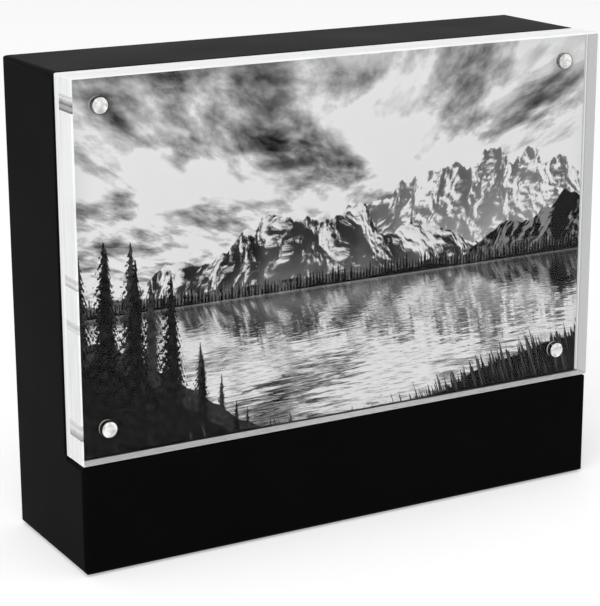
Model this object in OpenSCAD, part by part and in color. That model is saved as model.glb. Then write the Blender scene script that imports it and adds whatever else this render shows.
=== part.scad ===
// Acrylic magnetic photo frame: a thick clear front block, held by four pairs of
// magnets, clamps a photo print against a clear plate on a deep black case.
// X runs along the width, +Y from the front to the back, +Z up. The origin is
// the middle of the footprint, on the surface that the frame stands on.

/* [Print] */
// Width of the photo print
print_w = 200; // [140:0.2:300]
// Height of the photo print
print_h = 126.4; // [90:0.2:220]
// Thickness of the photo paper
print_t = 0.3; // [0.2:0.05:0.6]

/* [Acrylic] */
// Bare rim of acrylic at each side of the print
print_side_margin = 1.5; // [0:0.1:4]
// Bare rim of acrylic above and below the print
print_end_margin = 0.3; // [0:0.1:2]
// Thickness of the loose front block
block_t = 10; // [8:0.5:20]
// Thickness of the plate fixed to the case, behind the print
plate_t = 3; // [2:0.5:5]
// Width of the small bevel along the acrylic's edges
acrylic_bevel = 0.5; // [0.2:0.1:1]

/* [Magnets] */
// Diameter of the disc magnets
magnet_d = 5.5; // [3:0.5:8]
// Length of the magnets in the front block
block_magnet_len = 4; // [2:0.5:6]
// Distance from the acrylic's side to a magnet's axis
magnet_inset_x = 11.5; // [8:0.5:20]
// Distance from the acrylic's top or bottom to a magnet's axis
magnet_inset_z = 10; // [8:0.5:20]

/* [Case] */
// Depth of the tall part of the case, behind the acrylic
upright_depth = 44; // [30:1:70]
// Height of the ledge under the acrylic, above the case's underside
ledge_h = 38; // [20:1:60]
// Thickness of the front, side, top and base boards
board_t = 9; // [8:0.5:12]
// Thickness of the back board
back_board_t = 6; // [4:0.5:9]
// Radius of the case's softened outer edges
edge_r = 2; // [1:0.25:3]

/* [Feet] */
// Diameter of the foot pads
pad_d = 12; // [8:0.5:16]
// Thickness of the foot pads
pad_t = 1.5; // [1:0.1:3]
// How far the foot pads stand out of the case's underside
pad_proud = 0.5; // [0.3:0.1:1]
// Distance from the case's side to a foot pad's axis
pad_inset_x = 16; // [12:0.5:30]
// Distance from the case's front or back to a foot pad's axis
pad_inset_y = 12; // [10:0.5:14]

/* [Fits] */
// Running gap on each face of the print
print_gap = 0.05; // [0.02:0.01:0.1]
// Gap between the front block and the ledge
block_gap = 0.1; // [0.05:0.05:0.3]
// Clearance round a magnet in its hole
magnet_clear = 0.1; // [0.05:0.05:0.3]
// Clearance round a foot pad in its recess
pad_clear = 0.2; // [0.1:0.1:0.5]

/* [Hidden] */
$fn = 64;
// overrun of a cutting shape past the face that it cuts
over = 1;

// the side or end that a repeated piece is on
LEFT = -1;
RIGHT = 1;
BOTTOM = -1;
TOP = 1;
FRONT = -1;
BACK = 1;

// sizes of the whole, worked out from the print outwards
face_w = print_w + 2 * print_side_margin;
face_h = print_h + 2 * print_end_margin;
recess_depth = block_t + print_t + 2 * print_gap + plate_t;
case_depth = recess_depth + upright_depth;
half_w = face_w / 2;

// planes from the front to the back
front_y = -case_depth / 2;
block_back_y = front_y + block_t;
print_y = block_back_y + print_gap;
plate_y = print_y + print_t + print_gap;
recess_y = plate_y + plate_t;
carcass_y = recess_y + board_t;
back_y = front_y + case_depth;
back_board_y = back_y - back_board_t;

// levels from the bottom to the top
base_top = pad_proud + board_t;
ledge_top = pad_proud + ledge_h;
block_z = ledge_top + block_gap;
case_top = block_z + face_h;
lid_z = case_top - board_t;

pocket_r = magnet_d / 2 + magnet_clear;
pocket_depth = block_magnet_len + magnet_clear;
pad_recess_depth = pad_t - pad_proud;

function magnet_x(side) = side * (half_w - magnet_inset_x);
function magnet_z(end) = end == TOP ? case_top - magnet_inset_z : block_z + magnet_inset_z;
function pad_x(side) = side * (half_w - pad_inset_x);
function pad_y(end) = end == BACK ? back_y - pad_inset_y : front_y + pad_inset_y;

// box from its lowest corner to its highest corner
module span(low, high) {
  translate(low) cube(high - low);
}

// upright outline in X and Z drawn out along Y, outline in Y and Z drawn out
// along X, and outline in X and Y drawn out along Z
module along_y(from, to) {
  translate([0, to, 0]) rotate([90, 0, 0]) linear_extrude(to - from) children();
}
module along_x(from, to) {
  translate([from, 0, 0]) rotate([90, 0, 90]) linear_extrude(to - from) children();
}
module along_z(from, to) {
  translate([0, 0, from]) linear_extrude(to - from) children();
}

// rectangle with round corners, from its lowest corner to its highest corner
module round_rect(low, high, r) {
  size = high - low;
  translate(low + [r, 0]) square(size - [2 * r, 0]);
  translate(low + [0, r]) square(size - [0, 2 * r]);
  for (x = [low.x + r, high.x - r], y = [low.y + r, high.y - r])
    translate([x, y]) circle(r);
}

// rectangle with cut corners
module bevel_rect(low, high, c) {
  polygon([
    [low.x + c, low.y], [high.x - c, low.y], [high.x, low.y + c], [high.x, high.y - c],
    [high.x - c, high.y], [low.x + c, high.y], [low.x, high.y - c], [low.x, low.y + c]
  ]);
}

// slab of acrylic, bevelled along all its edges
module acrylic_slab(low, high) {
  intersection() {
    along_y(low.y, high.y) bevel_rect([low.x, low.z], [high.x, high.z], acrylic_bevel);
    along_x(low.x, high.x) bevel_rect([low.y, low.z], [high.y, high.z], acrylic_bevel);
    along_z(low.z, high.z) bevel_rect([low.x, low.y], [high.x, high.y], acrylic_bevel);
  }
}

// cylinder lying along Y, from its front end to its back end
module cylinder_y(r, from, to) {
  translate([0, from, 0]) rotate([-90, 0, 0]) cylinder(r = r, h = to - from);
}

// child repeated at the four places of the magnets
module at_magnets() {
  for (side = [LEFT, RIGHT], end = [BOTTOM, TOP])
    translate([magnet_x(side), 0, magnet_z(end)]) children();
}

// outer form of the glued and lacquered case: an upright part and a ledge
module case_form() {
  intersection() {
    along_x(-half_w, half_w) union() {
      round_rect([recess_y, pad_proud], [back_y, case_top], edge_r);
      round_rect([front_y, pad_proud], [back_y, ledge_top], edge_r);
    }
    union() {
      along_y(recess_y, back_y) round_rect([-half_w, pad_proud], [half_w, case_top], edge_r);
      along_y(front_y, back_y) round_rect([-half_w, pad_proud], [half_w, ledge_top], edge_r);
    }
    union() {
      along_z(pad_proud, case_top) round_rect([-half_w, recess_y], [half_w, back_y], edge_r);
      along_z(pad_proud, ledge_top) round_rect([-half_w, front_y], [half_w, back_y], edge_r);
    }
  }
}

// one board of the case: the stretch of its outer form between two corners
module case_board(low, high) {
  color([0.05, 0.05, 0.05])
    intersection() {
      case_form();
      span(low, high);
    }
}

// thick clear block with four blind holes drilled into its back
module front_block() {
  color([0.86, 0.93, 0.94, 0.4])
    difference() {
      acrylic_slab([-half_w, front_y, block_z], [half_w, block_back_y, case_top]);
      at_magnets() cylinder_y(pocket_r, block_back_y - pocket_depth, block_back_y + over);
    }
}

module block_magnet(side, end) {
  color("silver")
    translate([magnet_x(side), 0, magnet_z(end)])
      cylinder_y(magnet_d / 2, block_back_y - block_magnet_len, block_back_y);
}

module photo_print() {
  color("gainsboro")
    span([-half_w + print_side_margin, print_y, block_z + print_end_margin],
         [half_w - print_side_margin, print_y + print_t, case_top - print_end_margin]);
}

// clear plate bonded to the case, drilled right through for its magnets
module back_plate() {
  color([0.86, 0.93, 0.94, 0.4])
    difference() {
      acrylic_slab([-half_w, plate_y, ledge_top], [half_w, recess_y, case_top]);
      at_magnets() cylinder_y(pocket_r, plate_y - over, recess_y + over);
    }
}

module plate_magnet(side, end) {
  color("silver")
    translate([magnet_x(side), 0, magnet_z(end)])
      cylinder_y(magnet_d / 2, plate_y, recess_y);
}

module front_board() {
  case_board([-half_w, recess_y, base_top], [half_w, carcass_y, case_top]);
}

module ledge_block() {
  case_board([-half_w, front_y, base_top], [half_w, recess_y, ledge_top]);
}

module top_board() {
  case_board([-half_w, carcass_y, lid_z], [half_w, back_y, case_top]);
}

// base of the whole case, recessed underneath for the foot pads
module base_board() {
  color([0.05, 0.05, 0.05])
    difference() {
      case_board([-half_w, front_y, pad_proud], [half_w, back_y, base_top]);
      for (side = [LEFT, RIGHT], end = [FRONT, BACK])
        translate([pad_x(side), pad_y(end), pad_proud - over])
          cylinder(r = pad_d / 2 + pad_clear, h = pad_recess_depth + over);
    }
}

// side board between the front board and the back board
module side_board(side) {
  low_x = side == LEFT ? -half_w : half_w - board_t;
  case_board([low_x, carcass_y, base_top], [low_x + board_t, back_board_y, lid_z]);
}

module back_board() {
  case_board([-half_w, back_board_y, base_top], [half_w, back_y, lid_z]);
}

module foot_pad(side, end) {
  color([0.1, 0.1, 0.1])
    translate([pad_x(side), pad_y(end), 0])
      cylinder(d = pad_d, h = pad_t);
}

front_block();
block_magnet(LEFT, TOP);  // block_magnet_top_left
block_magnet(RIGHT, TOP);  // block_magnet_top_right
block_magnet(LEFT, BOTTOM);  // block_magnet_bottom_left
block_magnet(RIGHT, BOTTOM);  // block_magnet_bottom_right
photo_print();
back_plate();
plate_magnet(LEFT, TOP);  // plate_magnet_top_left
plate_magnet(RIGHT, TOP);  // plate_magnet_top_right
plate_magnet(LEFT, BOTTOM);  // plate_magnet_bottom_left
plate_magnet(RIGHT, BOTTOM);  // plate_magnet_bottom_right
front_board();
ledge_block();
top_board();
base_board();
side_board(LEFT);  // left_board
side_board(RIGHT);  // right_board
back_board();
foot_pad(LEFT, FRONT);  // foot_pad_front_left
foot_pad(RIGHT, FRONT);  // foot_pad_front_right
foot_pad(LEFT, BACK);  // foot_pad_back_left
foot_pad(RIGHT, BACK);  // foot_pad_back_right
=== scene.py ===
"""A magnetic photo frame: a print held by magnets between two slabs of clear acrylic, on a black box.

The file follows the frame as it is put together: the box, its feet, the fixed slab, the magnets, the print,
and the front block that pulls off. The studio and the camera come last. Lengths are metres, placed as in
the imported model.
"""

import math

import bmesh
import bpy
from mathutils import Matrix, Vector


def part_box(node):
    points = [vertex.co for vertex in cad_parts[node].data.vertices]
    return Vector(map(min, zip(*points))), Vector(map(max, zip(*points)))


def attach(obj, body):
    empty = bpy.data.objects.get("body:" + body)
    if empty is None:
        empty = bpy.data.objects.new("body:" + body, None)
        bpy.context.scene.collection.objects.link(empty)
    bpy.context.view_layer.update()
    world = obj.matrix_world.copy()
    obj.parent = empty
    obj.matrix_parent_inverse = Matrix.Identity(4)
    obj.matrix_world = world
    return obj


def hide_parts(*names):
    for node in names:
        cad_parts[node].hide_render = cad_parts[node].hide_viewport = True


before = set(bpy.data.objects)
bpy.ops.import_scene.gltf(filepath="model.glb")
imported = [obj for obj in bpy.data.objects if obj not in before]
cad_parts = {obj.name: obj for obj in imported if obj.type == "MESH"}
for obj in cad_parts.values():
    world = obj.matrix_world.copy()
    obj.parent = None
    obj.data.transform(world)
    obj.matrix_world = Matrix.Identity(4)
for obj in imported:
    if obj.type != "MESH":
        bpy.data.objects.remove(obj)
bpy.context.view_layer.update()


# The box stand: seven boards of medium-density fibreboard, glued up hollow, with a low block in front as the
# ledge. The outer edges are routed round, the joints filled and sanded, and the whole is sprayed matt black,
# so that it looks like one piece.


def linear(code):
    """A colour written as sRGB hex, as the linear red, green, blue and alpha that Blender works in."""
    parts = [int(code[i : i + 2], 16) / 255 for i in (1, 3, 5)]
    return [c / 12.92 if c <= 0.04045 else ((c + 0.055) / 1.055) ** 2.4 for c in parts] + [1.0]


def add(tree, kind, inputs=(), out=0, **settings):
    """Adds a node with its settings and inputs, which are values or other outputs. Gives one output."""
    node = tree.nodes.new(kind)
    for name, value in settings.items():
        setattr(node, name, value)
    for key, value in dict(inputs if isinstance(inputs, dict) else enumerate(inputs)).items():
        if isinstance(value, bpy.types.NodeSocket):
            tree.links.new(value, node.inputs[key])
        else:
            node.inputs[key].default_value = value
    return node.outputs[out] if node.outputs else None


def material(name):
    """An empty material and its tree."""
    made = bpy.data.materials.new(name)
    made.use_nodes = True
    made.node_tree.nodes.clear()
    return made, made.node_tree


# Matt lacquer on fibreboard: near black head on, with a soft sheen at grazing angles. The spray gun leaves a
# faint orange peel of waves about 1.6 mm long, and the sheen drifts over a few centimetres with the coat.
PEEL_WAVE = 0.0016
PEEL_HEIGHT = 0.00006
COAT_DRIFT = 0.035
lacquer, tree = material("matt_black_lacquer_sprayed_on_mdf")
place = add(tree, "ShaderNodeTexCoord", out="Object")
peel = add(
    tree, "ShaderNodeTexNoise", {"Vector": place, "Scale": 1 / PEEL_WAVE, "Detail": 2.0, "Roughness": 0.4}
)
bump = add(tree, "ShaderNodeBump", {"Strength": 0.12, "Distance": PEEL_HEIGHT, "Height": peel}, out="Normal")
drift = add(tree, "ShaderNodeTexNoise", {"Vector": place, "Scale": 1 / COAT_DRIFT, "Detail": 3.0})
sheen = add(
    tree,
    "ShaderNodeMapRange",
    {"Value": drift, "From Min": 0.3, "From Max": 0.7, "To Min": 0.44, "To Max": 0.50},
)
shade = add(tree, "ShaderNodeValToRGB", {"Fac": drift})
ramp = shade.node.color_ramp
ramp.elements[0].color, ramp.elements[1].color = linear("#070707"), linear("#0A0A0B")
coat = add(
    tree,
    "ShaderNodeBsdfPrincipled",
    {"Base Color": shade, "Roughness": sheen, "Normal": bump, "Specular IOR Level": 0.01},
)
add(tree, "ShaderNodeOutputMaterial", {"Surface": coat})

# Corners closer than a micrometre are one. Triangles within half a degree of each other make one flat face.
# Faces that turn by less than 30 degrees belong to the same rounded edge.
WELD = 0.000001
FLAT_WITHIN = math.radians(0.5)
SAME_BEND = math.cos(math.radians(30))
SQUARE_ON = 0.99999


def plain_piece(name, mesh, replaced, body):
    """An object for a finished mesh, in place of some CAD nodes, riding on its body."""
    piece = bpy.data.objects.new(name, mesh)
    mesh.name = name
    bpy.context.scene.collection.objects.link(piece)
    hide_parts(*replaced)
    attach(piece, body)


def joined_mesh(node):
    """A copy of a node's mesh, with its loose triangles joined into whole faces."""
    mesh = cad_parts[node].data.copy()
    mesh.materials.clear()
    edit = bmesh.new()
    edit.from_mesh(mesh)
    bmesh.ops.remove_doubles(edit, verts=edit.verts, dist=WELD)
    bmesh.ops.dissolve_limit(edit, angle_limit=FLAT_WITHIN, verts=edit.verts, edges=edit.edges)
    edit.to_mesh(mesh)
    edit.free()
    return mesh


def smooth_rounds(mesh):
    """Leaves the wide faces flat, and turns the light smoothly over the rounded edges up to them."""
    faces_at = {}
    for face in mesh.polygons:
        for corner in face.vertices:
            faces_at.setdefault(corner, []).append(face.normal)
    turned = []
    for face in mesh.polygons:
        for corner in face.vertices:
            near = [normal for normal in faces_at[corner] if normal.dot(face.normal) > SAME_BEND]
            wide = [normal for normal in near if max(abs(part) for part in normal) > SQUARE_ON]
            turned.append(sum(wide or near, Vector()).normalized())
    mesh.shade_smooth()
    mesh.normals_split_custom_set(turned)


BOARDS = ("base_board", "ledge_block", "left_board", "right_board", "top_board", "back_board", "front_board")
for board in BOARDS:
    mesh = joined_mesh(board)
    smooth_rounds(mesh)
    mesh.materials.append(lacquer)
    plain_piece("lacquered_" + board, mesh, [board], "case")


# The feet: four round pads punched from a sheet of rubber, 12 mm across, self-adhesive, each set 1 mm deep
# in a shallow recess under the box. Their lower rims are eased, as a moulded pad's are.

# Black rubber: dull, dark grey rather than black, with the fine cell of the sheet and dust in its pores.
RUBBER_GRAIN = 0.0004
PORE_DEPTH = 0.00004
rubber, tree = material("black_rubber_sheet")
place = add(tree, "ShaderNodeTexCoord", out="Object")
grain = add(tree, "ShaderNodeTexNoise", {"Vector": place, "Scale": 1 / RUBBER_GRAIN, "Detail": 3.0})
bump = add(tree, "ShaderNodeBump", {"Strength": 0.5, "Distance": PORE_DEPTH, "Height": grain}, out="Normal")
shade = add(tree, "ShaderNodeValToRGB", {"Fac": grain})
ramp = shade.node.color_ramp
ramp.elements[0].color, ramp.elements[1].color = linear("#111112"), linear("#242424")
pad_skin = add(tree, "ShaderNodeBsdfPrincipled", {"Base Color": shade, "Roughness": 0.82, "Normal": bump})
add(tree, "ShaderNodeOutputMaterial", {"Surface": pad_skin})

# One node tree makes four like discs at the corners of a rectangle. It draws one disc upwards from its foot,
# with both rims chamfered, copies it to the corners, and turns the set to face the way it is given. A dish
# starts at DISH_RIM of the way out from the middle of the upper face, and its floor is DISH_FLOOR of that.
AROUND = 72
DISH_RIM, DISH_FLOOR = 0.86, 0.9
DISC_INPUTS = {
    "Geometry": "NodeSocketGeometry",
    "Diameter": "NodeSocketFloat",
    "Thickness": "NodeSocketFloat",
    "Chamfer": "NodeSocketFloat",
    "Dish": "NodeSocketFloat",
    "Across": "NodeSocketFloat",
    "Along": "NodeSocketFloat",
    "Turn": "NodeSocketVector",
    "Middle": "NodeSocketVector",
    "Finish": "NodeSocketMaterial",
}
discs = bpy.data.node_groups.new("four_discs_at_corners", "GeometryNodeTree")
discs.interface.new_socket("Geometry", in_out="OUTPUT", socket_type="NodeSocketGeometry")
for label, kind in DISC_INPUTS.items():
    discs.interface.new_socket(label, in_out="INPUT", socket_type=kind)
given = discs.nodes.new("NodeGroupInput").outputs
radius = add(discs, "ShaderNodeMath", (given["Diameter"], 0.5), operation="MULTIPLY")
flat_radius = add(discs, "ShaderNodeMath", (radius, given["Chamfer"]), operation="SUBTRACT")
wall = add(discs, "ShaderNodeMath", (given["Chamfer"], -2.0, given["Thickness"]), operation="MULTIPLY_ADD")
foot = add(discs, "GeometryNodeMeshCircle", {"Vertices": AROUND, "Radius": flat_radius}, fill_type="NGON")
STEPS = (
    (given["Chamfer"], add(discs, "ShaderNodeMath", (radius, flat_radius), operation="DIVIDE")),
    (wall, None),
    (given["Chamfer"], add(discs, "ShaderNodeMath", (flat_radius, radius), operation="DIVIDE")),
    (0.0, DISH_RIM),
    (given["Dish"], DISH_FLOOR),
)
grown, top = foot, True
for rise, scale in STEPS:
    grown = add(
        discs,
        "GeometryNodeExtrudeMesh",
        {"Mesh": grown, "Selection": top, "Offset Scale": rise, "Individual": False},
        mode="FACES",
    )
    top = grown.node.outputs["Top"]
    if scale is not None:
        grown = add(
            discs,
            "GeometryNodeScaleElements",
            {"Geometry": grown, "Selection": top, "Scale": scale},
            domain="FACE",
        )
underside = add(discs, "GeometryNodeFlipFaces", (foot,))
disc = add(discs, "GeometryNodeJoinGeometry", (grown,))
discs.links.new(underside, disc.node.inputs["Geometry"])
disc = add(discs, "GeometryNodeMergeByDistance", {"Geometry": disc, "Distance": 2 * WELD})
corners = add(
    discs,
    "GeometryNodeMeshGrid",
    {"Size X": given["Across"], "Size Y": given["Along"], "Vertices X": 2, "Vertices Y": 2},
)
four = add(discs, "GeometryNodeInstanceOnPoints", {"Points": corners, "Instance": disc})
four = add(
    discs,
    "GeometryNodeTransform",
    {"Geometry": four, "Translation": given["Middle"], "Rotation": given["Turn"]},
)
four = add(discs, "GeometryNodeRealizeInstances", (four,))
four = add(discs, "GeometryNodeSetMaterial", {"Geometry": four, "Material": given["Finish"]})
add(discs, "NodeGroupOutput", (four,))

SHARP_FROM = math.radians(20)


def four_discs(name, nodes, chamfer, finish, body, dish=0.0, upright=False):
    """Four discs in place of four CAD nodes, of the nodes' size and place. Upright ones face the front."""
    boxes = [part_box(node) for node in nodes]
    low = Vector([min(box[0][axis] for box in boxes) for axis in range(3)])
    high = Vector([max(box[1][axis] for box in boxes) for axis in range(3)])
    depth, height = (1, 2) if upright else (2, 1)
    diameter = boxes[0][1].x - boxes[0][0].x
    middle = (low + high) / 2
    middle[depth] = high[depth] if upright else low[depth]
    values = {
        "Diameter": diameter,
        "Thickness": high[depth] - low[depth],
        "Chamfer": chamfer,
        "Dish": dish,
        "Across": high.x - low.x - diameter,
        "Along": high[height] - low[height] - diameter,
        "Turn": (math.pi / 2 if upright else 0.0, 0.0, 0.0),
        "Middle": middle,
        "Finish": finish,
    }
    maker = bpy.data.objects.new("maker", bpy.data.meshes.new("maker"))
    bpy.context.scene.collection.objects.link(maker)
    modifier = maker.modifiers.new("discs", "NODES")
    modifier.node_group = discs
    for item in discs.interface.items_tree:
        if item.in_out == "INPUT" and item.name in values:
            modifier[item.identifier] = values[item.name]
    mesh = bpy.data.meshes.new_from_object(maker.evaluated_get(bpy.context.evaluated_depsgraph_get()))
    bpy.data.objects.remove(maker)
    mesh.materials.clear()
    mesh.materials.append(finish)
    mesh.shade_smooth()
    mesh.set_sharp_from_angle(angle=SHARP_FROM)
    plain_piece(name, mesh, nodes, body)


PADS = ["foot_pad_" + corner for corner in ("front_left", "front_right", "back_left", "back_right")]
PAD_CHAMFER = 0.0003
four_discs("foot_pads", PADS, PAD_CHAMFER, rubber, "case")


# The back slab: 3 mm of clear cast acrylic, bonded flat to the front of the box. Its faces are as cast, its
# edges are sawn, sanded and buffed with a half-millimetre chamfer, and four holes are drilled through it for
# the magnets.

# Cast acrylic (PMMA, index 1.49): as clear as glass, with only the faintest cool tint in its depth. Seen
# head on, its faces give back little of the white around them, so that the blacks of the print stay black.
ACRYLIC_INDEX = 1.49
FACE_GLARE = 0.06
clear, tree = material("clear_cast_acrylic_face")
glassy = add(
    tree,
    "ShaderNodeBsdfPrincipled",
    {
        "Base Color": linear("#FEFEFE"),
        "Roughness": 0.0,
        "IOR": ACRYLIC_INDEX,
        "Transmission Weight": 1.0,
        "Specular Tint": (FACE_GLARE, FACE_GLARE, FACE_GLARE, 1.0),
    },
)
add(tree, "ShaderNodeOutputMaterial", {"Surface": glassy})

# The buffed edge: the fine scratches left by sanding scatter most of the light that the slab pipes to it, so
# it looks milky white, with faint streaks along the cut about 1 mm wide, and only part of what is inside
# shows through. From inside the slab the same scratched face glows a pale grey with the half of the daylight
# that it lets in. A streak is STREAK_LENGTH times as long as it is wide.
STREAK = 0.0011
STREAK_LENGTH = 20
SCRATCH_DEPTH = 0.00002
SHOWS_THROUGH = 0.18
LETS_IN = linear("#C2C3C3")


def glows_inside(tree, outside):
    """A shader's own look from outside the slab, and the glow of the daylight let in from inside it."""
    glow = add(tree, "ShaderNodeBsdfTranslucent", {"Color": LETS_IN})
    inside = add(tree, "ShaderNodeNewGeometry", out="Backfacing")
    return add(tree, "ShaderNodeMixShader", (inside, outside, glow))


edge, tree = material("acrylic_edge_sanded_and_buffed")
place = add(tree, "ShaderNodeTexCoord", out="Object")
stretch = (1 / STREAK_LENGTH, 1.0, 1 / STREAK_LENGTH)
along = add(tree, "ShaderNodeMapping", {"Vector": place, "Scale": stretch})
streak = add(tree, "ShaderNodeTexNoise", {"Vector": along, "Scale": 1 / STREAK, "Detail": 3.0})
milk = add(tree, "ShaderNodeValToRGB", {"Fac": streak})
ramp = milk.node.color_ramp
ramp.elements[0].position, ramp.elements[1].position = 0.35, 0.6
ramp.elements[0].color, ramp.elements[1].color = linear("#F0F1F1"), linear("#FCFDFD")
relief = {"Strength": 0.1, "Distance": SCRATCH_DEPTH, "Height": streak}
scratch = add(tree, "ShaderNodeBump", relief, out="Normal")
milky = add(
    tree,
    "ShaderNodeBsdfPrincipled",
    {
        "Base Color": milk,
        "Roughness": 0.45,
        "IOR": ACRYLIC_INDEX,
        "Transmission Weight": SHOWS_THROUGH,
        "Normal": scratch,
    },
)
add(tree, "ShaderNodeOutputMaterial", {"Surface": glows_inside(tree, milky)})

# The lower edge, left as sanded: a dull, even white. No daylight comes up through it from the black ledge,
# and it gives back the light inside the slab as the pale strip below the print.
SAND_GRAIN = 0.0005
sanded, tree = material("acrylic_lower_edge_as_sanded")
place = add(tree, "ShaderNodeTexCoord", out="Object")
grain = add(tree, "ShaderNodeTexNoise", {"Vector": place, "Scale": 1 / SAND_GRAIN, "Detail": 3.0})
milk = add(tree, "ShaderNodeValToRGB", {"Fac": grain})
ramp = milk.node.color_ramp
ramp.elements[0].color, ramp.elements[1].color = linear("#F4F5F5"), linear("#FEFEFE")
relief = {"Strength": 0.1, "Distance": SCRATCH_DEPTH, "Height": grain}
scratch = add(tree, "ShaderNodeBump", relief, out="Normal")
chalky = add(
    tree,
    "ShaderNodeBsdfPrincipled",
    {"Base Color": milk, "Roughness": 0.6, "IOR": ACRYLIC_INDEX, "Normal": scratch},
)
add(tree, "ShaderNodeOutputMaterial", {"Surface": chalky})

# The same edge where a magnet lies behind it, with the magnet painted on. The side of the magnet and its
# mirror image in the rear face are painted as one bright bar right across the edge. The bar has a painted
# highlight, a painted dark gap under it and the dark line of its lower side. The lower the bar, the more of
# the white floor its painted reflection takes in, so the lower bar starts from a paler tone of the same
# scale. The scale runs from a bar's foot, 0, to its top, 1.
PAINTED_MAGNET_TONES = (
    (0.00, "#4C4C4A"),
    (0.08, "#585856"),
    (0.17, "#959592"),
    (0.33, "#A6A6A3"),
    (0.40, "#6A6A68"),
    (0.46, "#525250"),
    (0.54, "#96968F"),
    (0.66, "#BCBDBA"),
    (0.78, "#ECEDED"),
    (0.88, "#C8C9C8"),
    (1.00, "#E8EAEA"),
)
WAVER = 0.24
bar, tree = material("acrylic_edge_with_painted_magnet_image")
measure = add(tree, "ShaderNodeTexCoord", out="UV")
paler = add(tree, "ShaderNodeSeparateXYZ", (measure,))
height = add(tree, "ShaderNodeSeparateXYZ", (measure,), out=1)
place = add(tree, "ShaderNodeTexCoord", out="Object")
waver = add(tree, "ShaderNodeTexNoise", {"Vector": place, "Scale": 1 / (2 * STREAK), "Detail": 4.0})
height = add(tree, "ShaderNodeMath", (waver, WAVER, height), operation="MULTIPLY_ADD")
height = add(tree, "ShaderNodeMath", (height, WAVER / 2), operation="SUBTRACT")
height = add(tree, "ShaderNodeMapRange", {"Value": height, "To Min": paler})
seen = add(tree, "ShaderNodeValToRGB", {"Fac": height})
ramp = seen.node.color_ramp
# The ramp paints the magnet's highlight, shade and reflection as tones across the bar.
for at, tone in PAINTED_MAGNET_TONES:
    stop = ramp.elements[0] if at == 0.0 else ramp.elements[-1] if at == 1.0 else ramp.elements.new(at)
    stop.color = linear(tone)
painted_magnet_look = add(
    tree,
    "ShaderNodeBsdfPrincipled",
    {"Base Color": seen, "Roughness": 0.2, "IOR": ACRYLIC_INDEX, "Transmission Weight": SHOWS_THROUGH},
)
add(tree, "ShaderNodeOutputMaterial", {"Surface": glows_inside(tree, painted_magnet_look)})

# A pocket's wall: clear glue joins it to the nickel of the magnet inside, so it shows as a dull dark mirror,
# clouded by the glue's fine bubbles. At its mouth the squeezed-out glue has set milky, and shows as a pale
# ring. How deep it reaches, and over what depth it fades, are shares of the slab's thickness.
BUBBLES = 0.0006
MILKY_MOUTH = 0.07
MOUTH_FADES = 0.03
glued, tree = material("clear_glue_over_nickel_in_drilled_pocket")
place = add(tree, "ShaderNodeTexCoord", out="Object")
cloud = add(tree, "ShaderNodeTexNoise", {"Vector": place, "Scale": 1 / BUBBLES, "Detail": 3.0})
shade = add(tree, "ShaderNodeValToRGB", {"Fac": cloud})
ramp = shade.node.color_ramp
ramp.elements[0].position, ramp.elements[1].position = 0.38, 0.62
ramp.elements[0].color, ramp.elements[1].color = linear("#4A4948"), linear("#A9A8A6")
depth = add(tree, "ShaderNodeSeparateXYZ", (add(tree, "ShaderNodeTexCoord", out="UV"),), out=1)
inner = add(
    tree,
    "ShaderNodeMapRange",
    {"Value": depth, "From Min": MILKY_MOUTH, "From Max": MILKY_MOUTH + MOUTH_FADES},
)
# Inputs 6 and 7 of a mix node are its two colours.
shade = add(tree, "ShaderNodeMix", {0: inner, 6: linear("#E9E9E7"), 7: shade}, out=2, data_type="RGBA")
relief = {"Strength": 0.3, "Distance": SCRATCH_DEPTH, "Height": cloud}
bump = add(tree, "ShaderNodeBump", relief, out="Normal")
wall = add(
    tree,
    "ShaderNodeBsdfPrincipled",
    {"Base Color": shade, "Metallic": inner, "Roughness": 0.16, "Normal": bump},
)
add(tree, "ShaderNodeOutputMaterial", {"Surface": wall})

# A face within 2 mm of a slab's outline is on its rim. The chamfers beside the left edge turn half left, so
# that LEFTWARD takes them in and the bars cover them too.
EDGE_BAND = 0.002
FACE_ON, LEFTWARD, DOWNWARD = 0.99, -0.6, -0.9
SLAB_FINISHES = (clear, edge, glued, bar, sanded)
CORNERS = ("top_left", "top_right", "bottom_left", "bottom_right")
# The bars are painted up to 2 mm higher than their magnets are, where the slab's bending of the light would
# show them. Between the two bars lie two faint painted marks, in place of the magnets at the far side as
# they would show along the whole slab. Each has its height, as a share of the way from the lower bar to the
# upper one, half its depth, and the tone at which it starts.
BAR_RISE = 0.0016
BARS = ((0.0, 0.0027, 0.5), (0.325, 0.0016, 0.72), (0.461, 0.0018, 0.62), (1.0, 0.0027, 0.0))


def is_rim(at, low, high):
    """Whether a place on a slab lies on its outer edges, not in its holes."""
    return min(at.x - low.x, high.x - at.x, at.z - low.z, high.z - at.z) < EDGE_BAND


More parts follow.
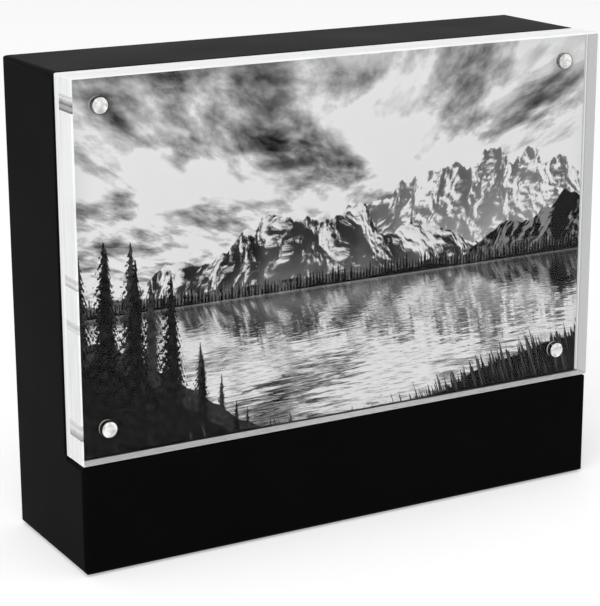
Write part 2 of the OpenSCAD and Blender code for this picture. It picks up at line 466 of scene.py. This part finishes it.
def acrylic_slab(name, node, magnet, body):
    """A slab as its CAD node has it, each face in its finish, with the magnets' bars painted in its left
    edge.
    """
    mesh = joined_mesh(node)
    for finish in SLAB_FINISHES:
        mesh.materials.append(finish)
    low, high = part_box(node)
    bars = []
    if magnet:
        ends = (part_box(magnet + corner) for corner in ("bottom_left", "top_left"))
        lower, upper = (sum(corner.z for corner in box) / 2 + BAR_RISE for box in ends)
        bars = [(lower + share * (upper - lower), half, paler) for share, half, paler in BARS]
    edit = bmesh.new()
    edit.from_mesh(mesh)
    for middle, half, _ in bars:
        for at in (middle - half, middle + half):
            left = [face for face in edit.faces if face.normal.x < LEFTWARD]
            left = [face for face in left if is_rim(face.calc_center_median(), low, high)]
            cut = dict.fromkeys(part for face in left for part in (face, *face.edges, *face.verts))
            bmesh.ops.bisect_plane(edit, geom=list(cut), dist=WELD, plane_co=(0, 0, at), plane_no=(0, 0, 1))
    measure = edit.loops.layers.uv.new("bar")
    for face in edit.faces:
        at, facing = face.calc_center_median(), face.normal
        here = [found for found in bars if abs(at.z - found[0]) < found[1]]
        if abs(facing.y) > FACE_ON:
            finish = clear
        elif not is_rim(at, low, high):
            finish, face.smooth = glued, True
            for loop in face.loops:
                loop[measure].uv = (0.0, (high.y - loop.vert.co.y) / (high.y - low.y))
        # Faces of the left edge in front of a magnet get the bar of painted highlight and painted
        # reflection.
        elif facing.x < LEFTWARD and here:
            finish = bar
            middle, half, paler = here[0]
            for loop in face.loops:
                loop[measure].uv = (paler, (loop.vert.co.z - middle + half) / (2 * half))
        else:
            finish = sanded if facing.z < DOWNWARD else edge
        face.material_index = SLAB_FINISHES.index(finish)
    edit.to_mesh(mesh)
    edit.free()
    plain_piece(name, mesh, [node], body)


acrylic_slab("back_slab", "back_plate", None, "case")


# The magnets: eight neodymium discs, 5.5 mm across, pressed into their pockets with a drop of clear glue.
# Those of the back slab and of the front block face each other through the print and hold the block on.

# Bright nickel plate: a warm grey mirror, slightly softened and clouded by barrel plating.
PLATING_GRAIN = 0.0022
nickel, tree = material("bright_nickel_plate")
place = add(tree, "ShaderNodeTexCoord", out="Object")
worn = add(tree, "ShaderNodeTexNoise", {"Vector": place, "Scale": 1 / PLATING_GRAIN, "Detail": 4.0})
gloss = add(tree, "ShaderNodeMapRange", {"Value": worn, "To Min": 0.12, "To Max": 0.26})
relief = {"Strength": 0.15, "Distance": SCRATCH_DEPTH, "Height": worn}
bump = add(tree, "ShaderNodeBump", relief, out="Normal")
shade = add(tree, "ShaderNodeValToRGB", {"Fac": worn})
ramp = shade.node.color_ramp
ramp.elements[0].position, ramp.elements[1].position = 0.38, 0.62
ramp.elements[0].color, ramp.elements[1].color = linear("#C6C5C3"), linear("#F4F3F1")
plate = add(
    tree,
    "ShaderNodeBsdfPrincipled",
    {"Base Color": shade, "Metallic": 1.0, "Roughness": gloss, "Normal": bump},
)
add(tree, "ShaderNodeOutputMaterial", {"Surface": plate})

MAGNET_CHAMFER = 0.0001
MAGNET_DISH = -0.00005
for set_name, node_name, body in (
    ("plate_magnets", "plate_magnet_", "case"),
    ("block_magnets", "block_magnet_", "block"),
):
    nodes = [node_name + corner for corner in CORNERS]
    four_discs(set_name, nodes, MAGNET_CHAMFER, nickel, body, MAGNET_DISH, upright=True)


# The print: a black and white photograph, 200 by 126 mm, on resin-coated paper 0.3 mm thick. It stands loose
# between the slabs and lifts out once the block is off. Its subject is a made-up mountain lake, drawn by the
# nodes below.

# The picture's own measure is 100 mm: x runs from its middle to the right, y from its lower edge up. Tones
# run from 0, black, to 1, white.
MATH, RANGE, NOISE, BLEND = "ShaderNodeMath", "ShaderNodeMapRange", "ShaderNodeTexNoise", "ShaderNodeMix"
CHANCE, VECTOR, SPOT, PARTS = (
    "ShaderNodeTexWhiteNoise",
    "ShaderNodeVectorMath",
    "ShaderNodeCombineXYZ",
    "ShaderNodeSeparateXYZ",
)
SHORE = 0.47


def picture_group(name, labels):
    """A node group for a part of the picture. Gives its tree, its inputs, and the place's x and y."""
    tree = bpy.data.node_groups.new(name, "ShaderNodeTree")
    for label in ("Place", *labels):
        kind = "NodeSocketVector" if label == "Place" else "NodeSocketFloat"
        tree.interface.new_socket(label, in_out="INPUT", socket_type=kind)
    tree.interface.new_socket("Result", in_out="OUTPUT", socket_type="NodeSocketFloat")
    given = tree.nodes.new("NodeGroupInput").outputs
    return tree, given, add(tree, PARTS, (given["Place"],)), add(tree, PARTS, (given["Place"],), out=1)


# A row of firs: one tree stands in each step along the row, as high as chance gives it. Its branches hang in
# tiers that narrow to the top, and noise frays them.
OTHER_CHANCE = 71.3
firs, given, x, y = picture_group("row_of_firs", ("Spacing", "Base", "Height", "Spread", "Seed"))
step = add(firs, MATH, (x, given["Spacing"]), operation="DIVIDE")
step = add(firs, MATH, (step, given["Seed"]), operation="ADD")
number = add(firs, MATH, (step,), operation="FLOOR")
luck = add(firs, CHANCE, {"W": number}, noise_dimensions="1D")
number = add(firs, MATH, (number, OTHER_CHANCE), operation="ADD")
other_luck = add(firs, CHANCE, {"W": number}, noise_dimensions="1D")
size = add(firs, RANGE, {"Value": luck, "To Min": 0.42, "To Max": 1.0})
height = add(firs, MATH, (size, given["Height"]), operation="MULTIPLY")
rise = add(firs, MATH, (y, given["Base"]), operation="SUBTRACT")
share = add(firs, MATH, (rise, height), operation="DIVIDE")
stem = add(firs, RANGE, {"Value": other_luck, "To Min": 0.38, "To Max": 0.62})
across = add(firs, MATH, (add(firs, MATH, (step,), operation="FRACT"), stem), operation="SUBTRACT")
across = add(
    firs, MATH, (add(firs, MATH, (across,), operation="ABSOLUTE"), given["Spacing"]), operation="MULTIPLY"
)
fray = add(
    firs,
    NOISE,
    {"Vector": given["Place"], "Scale": 95.0, "Detail": 3.0, "Roughness": 0.7},
    noise_dimensions="2D",
)
tiers = add(firs, RANGE, {"Value": other_luck, "To Min": 9.0, "To Max": 14.0})
tiers = add(firs, MATH, (share, tiers, fray), operation="MULTIPLY_ADD")
droop = add(firs, MATH, (across, height), operation="DIVIDE")
tiers = add(firs, MATH, (droop, 22.0, tiers), operation="MULTIPLY_ADD")
tiers = add(firs, MATH, (tiers,), operation="FRACT")
tiers = add(firs, RANGE, {"Value": tiers, "To Min": 1.0, "To Max": 0.5})
ragged = add(firs, RANGE, {"Value": fray, "From Min": 0.35, "From Max": 0.65, "To Min": 0.5, "To Max": 1.3})
taper = add(firs, MATH, (add(firs, MATH, (1.03, share), operation="SUBTRACT"), 0.9), operation="POWER")
for factor in (tiers, ragged, given["Spread"], height):
    taper = add(firs, MATH, (taper, factor), operation="MULTIPLY")
tree_here = add(firs, MATH, (across, taper), operation="LESS_THAN")
tree_here = add(
    firs, MATH, (tree_here, add(firs, MATH, (share, 1.0), operation="LESS_THAN")), operation="MULTIPLY"
)
ground = add(firs, MATH, (y, given["Base"]), operation="LESS_THAN")
add(firs, "NodeGroupOutput", (add(firs, MATH, (tree_here, ground), operation="MAXIMUM"),))

# A mountain range in front of what lies behind it: a jagged crest over a broad rise, and slopes cut by
# gullies that run down and outwards. Each place is compared with one a little to its right, so that the
# light comes from the right. The foot of a range fades into pale haze.
ROCK_LIGHT = (0.013, 0.006, 0.0)
HAZE_TONE = 0.75
DARKEST_ROCK = 0.04
RANGE_NUMBERS = ("Behind", "Seed", "Middle", "Reach", "Rise", "Foot", "Crags", "Snow", "Rock", "Haze")
mountains, given, x, y = picture_group("mountain_range", RANGE_NUMBERS)
line = add(mountains, SPOT, (x, given["Seed"]))
crags = add(
    mountains, NOISE, {"Vector": line, "Scale": 3.1, "Detail": 6.0, "Roughness": 0.5}, noise_dimensions="2D"
)
crags = add(mountains, MATH, (crags, 2.0, -1.0), operation="MULTIPLY_ADD")
crags = add(mountains, MATH, (crags,), operation="ABSOLUTE")
crags = add(mountains, MATH, (crags, -1.6, 0.45), operation="MULTIPLY_ADD")
away = add(
    mountains,
    MATH,
    (add(mountains, MATH, (x, given["Middle"]), operation="SUBTRACT"), given["Reach"]),
    operation="DIVIDE",
)
arch = add(
    mountains,
    MATH,
    (1.0, add(mountains, MATH, (away, away), operation="MULTIPLY")),
    operation="SUBTRACT",
    use_clamp=True,
)
crest = add(mountains, MATH, (arch, given["Rise"], given["Foot"]), operation="MULTIPLY_ADD")
jag = add(mountains, MATH, (arch, 0.8, 0.2), operation="MULTIPLY_ADD")
jag = add(mountains, MATH, (jag, given["Crags"]), operation="MULTIPLY")
crest = add(mountains, MATH, (crags, jag, crest), operation="MULTIPLY_ADD")
crest = add(mountains, MATH, (crest, SHORE), operation="ADD")
below = add(mountains, MATH, (crest, y), operation="SUBTRACT")
here = add(mountains, RANGE, {"Value": below, "From Min": -0.002, "From Max": 0.002})
deep = add(
    mountains,
    MATH,
    (below, add(mountains, MATH, (given["Rise"], given["Foot"]), operation="ADD")),
    operation="DIVIDE",
)
lean = add(
    mountains, RANGE, {"Value": away, "From Min": -0.5, "From Max": 0.5, "To Min": 0.55, "To Max": -0.55}
)
lean = add(mountains, MATH, (below, lean, x), operation="MULTIPLY_ADD")
low_y = add(mountains, MATH, (y, 0.7), operation="MULTIPLY")
spurs = add(mountains, SPOT, (lean, low_y, given["Seed"]))
spurs = add(mountains, NOISE, {"Vector": spurs, "Scale": 5.5, "Detail": 3.0})
bent = add(mountains, MATH, (spurs, 0.22, lean), operation="MULTIPLY_ADD")
slope = add(mountains, SPOT, (bent, low_y, given["Seed"]))
right = add(mountains, VECTOR, (slope, ROCK_LIGHT), operation="ADD")
rock, rock_beside = (
    add(mountains, NOISE, {"Vector": spot, "Scale": 8.0, "Detail": 7.0, "Roughness": 0.64})
    for spot in (slope, right)
)
lit = add(mountains, MATH, (rock, rock_beside), operation="SUBTRACT")
lit = add(
    mountains,
    MATH,
    (lit, 4.0, add(mountains, MATH, (spurs, 0.5), operation="SUBTRACT")),
    operation="MULTIPLY_ADD",
)
lit = add(mountains, MATH, (deep, -0.14, lit), operation="MULTIPLY_ADD")
snow = add(
    mountains, RANGE, {"Value": lit, "From Min": -0.16, "From Max": 0.16}, interpolation_type="SMOOTHSTEP"
)
tone = add(mountains, BLEND, {"Factor": snow, "A": given["Rock"], "B": given["Snow"]})
tone = add(
    mountains,
    MATH,
    (add(mountains, MATH, (rock, 0.5), operation="SUBTRACT"), 0.35, tone),
    operation="MULTIPLY_ADD",
)
haze = add(mountains, RANGE, {"Value": deep, "From Min": 0.3, "From Max": 1.1, "To Max": given["Haze"]})
tone = add(mountains, BLEND, {"Factor": haze, "A": tone, "B": HAZE_TONE})
tone = add(mountains, MATH, (tone, DARKEST_ROCK), operation="MAXIMUM")
tone = add(mountains, BLEND, {"Factor": here, "A": given["Behind"], "B": tone})
add(mountains, "NodeGroupOutput", (tone,))

# All that stands above the shore: sky, three ranges and two rows of wood along the water.
land, given, x, y = picture_group("sky_and_land", ())
# Clouds lie on a level ceiling, so they are drawn on it in perspective, closer together towards the horizon.
# They are lit from the right as the slopes are, and pale where they are thin. Their vanishing line lies this
# far below the shore.
CLOUDS_VANISH = 0.25
CLOUD_LIGHT = (0.04, 0.05, 0.0)
above = add(land, MATH, (add(land, MATH, (y, SHORE), operation="SUBTRACT"), 0.0), operation="MAXIMUM")
far = add(land, MATH, (1.0, add(land, MATH, (above, CLOUDS_VANISH), operation="ADD")), operation="DIVIDE")
ceiling = add(
    land,
    SPOT,
    (
        add(land, MATH, (x, far), operation="MULTIPLY"),
        add(land, MATH, (far, 0.95), operation="MULTIPLY"),
        2.6,
    ),
)
drift = add(land, NOISE, {"Vector": ceiling, "Scale": 0.8, "Detail": 3.0}, out="Color")
drift = add(land, VECTOR, {0: drift, 1: (0.5, 0.5, 0.5)}, operation="SUBTRACT")
ceiling = add(land, VECTOR, {0: drift, 1: (0.5, 0.5, 0.5), 2: ceiling}, operation="MULTIPLY_ADD")
beside = add(land, VECTOR, {0: ceiling, 1: CLOUD_LIGHT}, operation="ADD")
cloud, cloud_beside = (
    add(land, NOISE, {"Vector": spot, "Scale": 2.3, "Detail": 7.0, "Roughness": 0.58})
    for spot in (ceiling, beside)
)
broad = add(land, NOISE, {"Vector": ceiling, "Scale": 0.9, "Detail": 1.0})
cover = add(land, MATH, (broad, 0.6, cloud), operation="MULTIPLY_ADD")
cover = add(
    land, RANGE, {"Value": cover, "From Min": 0.66, "From Max": 0.80}, interpolation_type="SMOOTHSTEP"
)
relief = add(land, MATH, (cloud, cloud_beside), operation="SUBTRACT")
thick = add(
    land, RANGE, {"Value": cloud, "From Min": 0.42, "From Max": 0.66, "To Min": 0.94, "To Max": 0.36}
)
grey = add(land, MATH, (relief, 3.6, thick), operation="MULTIPLY_ADD")
banks = add(
    land, RANGE, {"Value": broad, "From Min": 0.35, "From Max": 0.65, "To Min": 0.12, "To Max": -0.16}
)
grey = add(land, MATH, (grey, banks), operation="ADD")
low_light = add(land, RANGE, {"Value": above, "From Max": 0.45, "To Min": 0.22, "To Max": 0.0})
grey = add(land, MATH, (grey, low_light), operation="ADD")
open_sky = add(land, RANGE, {"Value": above, "From Max": 0.8, "To Min": 1.0, "To Max": 0.80})
tone = add(land, BLEND, {"Factor": cover, "A": open_sky, "B": grey})
# The three ranges, from the far one to the near one.
for numbers in (
    (3.1, 0.62, 0.95, 0.26, 0.06, 0.20, 0.95, 0.42, 0.60),
    (9.4, -0.12, 0.70, 0.17, 0.05, 0.17, 0.85, 0.24, 0.35),
    (15.7, 1.10, 0.60, 0.16, 0.03, 0.12, 0.50, 0.10, 0.10),
):
    values = dict(zip(RANGE_NUMBERS[1:], numbers))
    tone = add(
        land, "ShaderNodeGroup", {"Place": given["Place"], "Behind": tone, **values}, node_tree=mountains
    )
leaves = add(land, NOISE, {"Vector": given["Place"], "Scale": 60.0, "Detail": 4.0}, noise_dimensions="2D")
for seed, spacing, height, lift, darkest in (
    (5.0, 0.0085, 0.046, -0.008, 0.24),
    (17.0, 0.0125, 0.060, -0.022, 0.03),
):
    rolling = add(
        land,
        NOISE,
        {"Vector": add(land, SPOT, (x, seed)), "Scale": 2.2, "Detail": 3.0},
        noise_dimensions="2D",
    )
    base = add(land, MATH, (rolling, 0.06, SHORE + lift), operation="MULTIPLY_ADD")
    row = {
        "Place": given["Place"],
        "Spacing": spacing,
        "Base": base,
        "Height": height,
        "Spread": 0.20,
        "Seed": seed,
    }
    wood_here = add(land, "ShaderNodeGroup", row, node_tree=firs)
    wood = add(land, MATH, (leaves, 0.24, darkest), operation="MULTIPLY_ADD")
    tone = add(land, BLEND, {"Factor": wood_here, "A": tone, "B": wood})
add(land, "NodeGroupOutput", (add(land, MATH, (tone, 0.0), operation="ADD", use_clamp=True),))

# The whole picture. The lake mirrors what stands above it, broken by ripples that widen towards the eye from
# a vanishing line just above the shore. The mirror image is shorter than what it mirrors, and glints gather
# a little right of the middle.
WATER_VANISHES = 0.035
MIRROR_SQUEEZE = 1.35
GLINTS_AT = 0.18
view, given, x, y = picture_group("mountain_lake", ())
upper = add(view, "ShaderNodeGroup", (given["Place"],), node_tree=land)
below = add(view, MATH, (add(view, MATH, (SHORE, y), operation="SUBTRACT"), 0.0), operation="MAXIMUM")
near = add(view, MATH, (1.0, add(view, MATH, (below, WATER_VANISHES), operation="ADD")), operation="DIVIDE")
surface = add(
    view,
    SPOT,
    (add(view, MATH, (x, near), operation="MULTIPLY"), add(view, MATH, (near, 5.0), operation="MULTIPLY")),
)
swell = add(
    view,
    NOISE,
    {"Vector": surface, "Scale": 1.8, "Detail": 5.0, "Roughness": 0.6, "Distortion": 0.4},
    noise_dimensions="2D",
)
swell = add(view, MATH, (swell, 0.5), operation="SUBTRACT")
throw = add(view, RANGE, {"Value": below, "From Max": SHORE, "To Min": 0.10, "To Max": 0.75})
mirror_y = add(view, MATH, (below, MIRROR_SQUEEZE, SHORE + 0.004), operation="MULTIPLY_ADD")
mirror_y = add(view, MATH, (swell, throw, mirror_y), operation="MULTIPLY_ADD")
mirror_y = add(view, MATH, (mirror_y, SHORE + 0.003), operation="MAXIMUM")
mirror_x = add(view, MATH, (swell, 0.05, x), operation="MULTIPLY_ADD")
water = add(view, "ShaderNodeGroup", (add(view, SPOT, (mirror_x, mirror_y)),), node_tree=land)
water = add(view, MATH, (water, 0.92, 0.06), operation="MULTIPLY_ADD")
fine = add(
    view, NOISE, {"Vector": surface, "Scale": 5.5, "Detail": 4.0, "Roughness": 0.65}, noise_dimensions="2D"
)
glints = add(
    view, RANGE, {"Value": fine, "From Min": 0.5, "From Max": 0.68}, interpolation_type="SMOOTHSTEP"
)
aside = add(view, MATH, (add(view, MATH, (x, GLINTS_AT), operation="SUBTRACT"),), operation="ABSOLUTE")
bright = add(
    view,
    RANGE,
    {"Value": aside, "From Max": 0.55, "To Min": 0.42, "To Max": 0.10},
    interpolation_type="SMOOTHSTEP",
)
water = add(view, MATH, (glints, bright, water), operation="MULTIPLY_ADD")
hollows = add(view, RANGE, {"Value": fine, "From Min": 0.5, "From Max": 0.34, "To Max": 0.20})
water = add(view, MATH, (water, hollows), operation="SUBTRACT")
lip = add(view, RANGE, {"Value": below, "From Max": 0.012, "To Min": 0.25, "To Max": 0.0})
water = add(view, MATH, (water, lip), operation="ADD")
on_land = add(view, RANGE, {"Value": y, "From Min": SHORE - 0.001, "From Max": SHORE + 0.001})
tone = add(view, BLEND, {"Factor": on_land, "A": water, "B": upper})
# On the left a bank slopes down to the water, with tall firs in two rows.
uneven = add(
    view, NOISE, {"Vector": add(view, SPOT, (x, 40.0)), "Scale": 4.0, "Detail": 6.0}, noise_dimensions="2D"
)
bank = add(
    view,
    RANGE,
    {"Value": x, "From Min": -1.02, "From Max": -0.05, "To Min": 0.31, "To Max": -0.17},
    interpolation_type="SMOOTHSTEP",
)
bank = add(view, MATH, (uneven, 0.10, bank), operation="MULTIPLY_ADD")
needles = add(
    view,
    NOISE,
    {"Vector": given["Place"], "Scale": 45.0, "Detail": 4.0, "Roughness": 0.7},
    noise_dimensions="2D",
)
smaller = add(view, RANGE, {"Value": x, "From Min": -0.95, "From Max": -0.36, "To Min": 1.0, "To Max": 0.22})
for seed, spacing, height, lift, darkest in (
    (2.0, 0.085, 0.52, 0.02, 0.09),
    (31.0, 0.12, 0.80, -0.05, 0.02),
):
    base = add(view, MATH, (bank, lift), operation="ADD")
    tall = add(view, MATH, (smaller, height), operation="MULTIPLY")
    row = {
        "Place": given["Place"],
        "Spacing": spacing,
        "Base": base,
        "Height": tall,
        "Spread": 0.17,
        "Seed": seed,
    }
    wood_here = add(view, "ShaderNodeGroup", row, node_tree=firs)
    wood = add(view, MATH, (needles, 0.30, darkest), operation="MULTIPLY_ADD")
    tone = add(view, BLEND, {"Factor": wood_here, "A": tone, "B": wood})
# On the right the near shore rises into long dry grass.
combed = add(
    view,
    SPOT,
    (
        add(view, MATH, (y, 0.3, x), operation="MULTIPLY_ADD"),
        add(view, MATH, (y, 0.06), operation="MULTIPLY"),
    ),
)
blades = add(
    view, NOISE, {"Vector": combed, "Scale": 60.0, "Detail": 3.0, "Roughness": 0.7}, noise_dimensions="2D"
)
mound = add(
    view, NOISE, {"Vector": add(view, SPOT, (x, 60.0)), "Scale": 3.0, "Detail": 3.0}, noise_dimensions="2D"
)
shore = add(view, RANGE, {"Value": x, "To Min": -0.12, "To Max": 0.08}, interpolation_type="SMOOTHSTEP")
shore = add(view, MATH, (mound, 0.12, shore), operation="MULTIPLY_ADD")
tips = add(view, RANGE, {"Value": blades, "From Min": 0.45, "From Max": 0.75, "To Max": 0.10})
shore = add(view, MATH, (shore, tips), operation="ADD")
under = add(view, MATH, (shore, y), operation="SUBTRACT")
grass_here = add(view, RANGE, {"Value": under, "From Min": -0.004, "From Max": 0.004})
grass = add(
    view, RANGE, {"Value": blades, "From Min": 0.35, "From Max": 0.7, "To Min": 0.02, "To Max": 0.34}
)
tone = add(view, BLEND, {"Factor": grass_here, "A": tone, "B": grass})
# Printed hard: the darkest and lightest tones run out to black and to the white of the paper.
BLACK_BELOW, WHITE_ABOVE, PAPER_WHITE = 0.13, 0.87, 0.995
HARDNESS = 1.8
tone = add(
    view, RANGE, {"Value": tone, "From Min": BLACK_BELOW, "From Max": WHITE_ABOVE, "To Max": PAPER_WHITE}
)
add(view, "NodeGroupOutput", (add(view, MATH, (tone, HARDNESS), operation="POWER"),))

# Resin-coated photo paper, printed in black inks: a full scale from soft white to black under a lustre coat,
# whose pebbled grain is about 0.4 mm across.
LUSTRE = 0.0004
PAPER_RELIEF = 0.00002
picture, tree = material("photo_paper_lustre_print")
place = add(tree, "ShaderNodeTexCoord", out="UV")
image = add(tree, "ShaderNodeGroup", (place,), node_tree=view)
body_place = add(tree, "ShaderNodeTexCoord", out="Object")
pebbles = add(tree, "ShaderNodeTexVoronoi", {"Vector": body_place, "Scale": 1 / LUSTRE}, feature="SMOOTH_F1")
relief = {"Strength": 0.08, "Distance": PAPER_RELIEF, "Height": pebbles}
bump = add(tree, "ShaderNodeBump", relief, out="Normal")
gloss = add(tree, "ShaderNodeMapRange", {"Value": image, "To Min": 0.34, "To Max": 0.42})
ink = add(
    tree,
    "ShaderNodeBsdfPrincipled",
    {"Base Color": image, "Roughness": gloss, "Normal": bump, "Specular IOR Level": 0.03},
)
add(tree, "ShaderNodeOutputMaterial", {"Surface": ink})

# The bare paper of its edges and back: cool white, slightly felted.
FELT = 0.0006
back, tree = material("photo_paper_bare_back")
place = add(tree, "ShaderNodeTexCoord", out="Object")
felt = add(tree, "ShaderNodeTexNoise", {"Vector": place, "Scale": 1 / FELT, "Detail": 5.0})
shade = add(tree, "ShaderNodeValToRGB", {"Fac": felt})
ramp = shade.node.color_ramp
ramp.elements[0].color, ramp.elements[1].color = linear("#EDEDEA"), linear("#F6F6F4")
relief = {"Strength": 0.2, "Distance": PAPER_RELIEF, "Height": felt}
bump = add(tree, "ShaderNodeBump", relief, out="Normal")
bare = add(tree, "ShaderNodeBsdfPrincipled", {"Base Color": shade, "Roughness": 0.55, "Normal": bump})
add(tree, "ShaderNodeOutputMaterial", {"Surface": bare})

PICTURE_UNIT = 0.1
low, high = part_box("photo_print")
mesh = bpy.data.meshes.new("print")
edit = bmesh.new()
outline = ((low.x, low.z), (high.x, low.z), (high.x, high.z), (low.x, high.z))
front, rear = ([edit.verts.new((x, y, z)) for x, z in outline] for y in (low.y, high.y))
edit.faces.new(front)
edit.faces.new(rear[::-1])
for a, b in ((0, 1), (1, 2), (2, 3), (3, 0)):
    edit.faces.new((front[b], front[a], rear[a], rear[b]))
measure = edit.loops.layers.uv.new("picture")
for face in edit.faces:
    for loop in face.loops:
        loop[measure].uv = (loop.vert.co.x / PICTURE_UNIT, (loop.vert.co.z - low.z) / PICTURE_UNIT)
bmesh.ops.recalc_face_normals(edit, faces=edit.faces)
edit.to_mesh(mesh)
edit.free()
for face in mesh.polygons:
    face.material_index = 0 if face.normal.y < -FACE_ON else 1
mesh.materials.append(picture)
mesh.materials.append(back)
plain_piece("photo_print_sheet", mesh, ["photo_print"], "print")


# The front block: 10 mm of the same clear acrylic, with the same edges. Its four pockets are drilled from
# behind, so that the front stays whole, and it comes away in the hand against the pull of the magnets.
acrylic_slab("front_block_clear", "front_block", "block_magnet_", "block")


# The studio, which isn't part of the frame: a white paper floor and an even white tent, with one large soft
# lamp overhead and one at the left of the front.


def shows_white(tree):
    """1 for rays that look at the background: the camera's, and those off gloss or through acrylic."""
    path = tree.nodes.new("ShaderNodeLightPath").outputs
    seen = add(tree, "ShaderNodeMath", (path["Is Camera Ray"], path["Is Glossy Ray"]), operation="ADD")
    return add(tree, "ShaderNodeMath", (seen, path["Is Transmission Ray"]), operation="ADD", use_clamp=True)


# White seamless paper. It takes the frame's shadow, and where the camera sees it, it is lifted to the white
# behind it.
FLOOR_REACH = 4.0
FIBRE_SCALE = 900.0
FLOOR_LIFT = 0.34
sides = ((-1, -1), (1, -1), (1, 1), (-1, 1))
mesh = bpy.data.meshes.new("floor")
mesh.from_pydata([(x * FLOOR_REACH, y * FLOOR_REACH, 0.0) for x, y in sides], [], [(0, 1, 2, 3)])
floor = bpy.data.objects.new("floor", mesh)
bpy.context.scene.collection.objects.link(floor)
paper, tree = material("white_seamless_paper")
place = add(tree, "ShaderNodeTexCoord", out="Object")
fibre = add(tree, "ShaderNodeTexNoise", {"Vector": place, "Scale": FIBRE_SCALE})
shade = add(tree, "ShaderNodeValToRGB", {"Fac": fibre})
ramp = shade.node.color_ramp
ramp.elements[0].color, ramp.elements[1].color = linear("#DEDEDE"), linear("#E2E2E2")
lit = add(tree, "ShaderNodeBsdfDiffuse", {"Color": shade})
lift = add(tree, "ShaderNodeMath", (shows_white(tree), FLOOR_LIFT), operation="MULTIPLY")
lift = add(tree, "ShaderNodeEmission", {"Strength": lift})
add(tree, "ShaderNodeOutputMaterial", {"Surface": add(tree, "ShaderNodeAddShader", (lit, lift))})
mesh.materials.append(paper)

# The tent lights the frame at this share of the white that it shows to the camera.
TENT_LEVEL = 0.72
world = bpy.data.worlds.new("white_tent")
bpy.context.scene.world = world
world.use_nodes = True
tree = world.node_tree
tree.nodes.clear()
level = add(tree, "ShaderNodeMix", {"Factor": shows_white(tree), "A": TENT_LEVEL, "B": 1.0})
tent = add(tree, "ShaderNodeBackground", {"Color": (1.0, 1.0, 1.0, 1.0), "Strength": level})
add(tree, "ShaderNodeOutputWorld", {"Surface": tent})

FRAME_MIDDLE = (0.0, 0.0, 0.08)
LAMP_SIZE = 1.4


def softbox(name, power, place):
    """A square lamp of soft light that faces the middle of the frame."""
    lamp = bpy.data.lights.new(name, "AREA")
    lamp.shape, lamp.size, lamp.energy = "SQUARE", LAMP_SIZE, power
    made = bpy.data.objects.new(name, lamp)
    bpy.context.scene.collection.objects.link(made)
    aim = Vector(FRAME_MIDDLE) - Vector(place)
    made.matrix_world = Matrix.Translation(place) @ aim.to_track_quat("-Z", "Y").to_matrix().to_4x4()


softbox("overhead_softbox", 12.0, (-0.7, -0.9, 1.7))
softbox("front_softbox", 14.0, (-1.5, -1.5, 0.8))


# The camera: a long lens, from the left of the front and a little above. Its angles are in degrees, and its
# sensor and focal length in millimetres.
CAMERA_AT = (-0.3441, -0.6002, 0.2651)
TURNED_RIGHT, TIPPED_DOWN, ROLLED = (math.radians(angle) for angle in (29.51, 15.51, -0.165))
lens = bpy.data.cameras.new("camera")
lens.sensor_width = 36.0
lens.lens = 120.2
lens.clip_start, lens.clip_end = 0.05, 20.0
camera = bpy.data.objects.new("camera", lens)
bpy.context.scene.collection.objects.link(camera)
camera.matrix_world = (
    Matrix.Translation(CAMERA_AT)
    @ Matrix.Rotation(-TURNED_RIGHT, 4, "Z")
    @ Matrix.Rotation(math.pi / 2 - TIPPED_DOWN, 4, "X")
    @ Matrix.Rotation(ROLLED, 4, "Z")
)
bpy.context.scene.camera = camera
bpy.context.scene.view_settings.view_transform = "Standard"
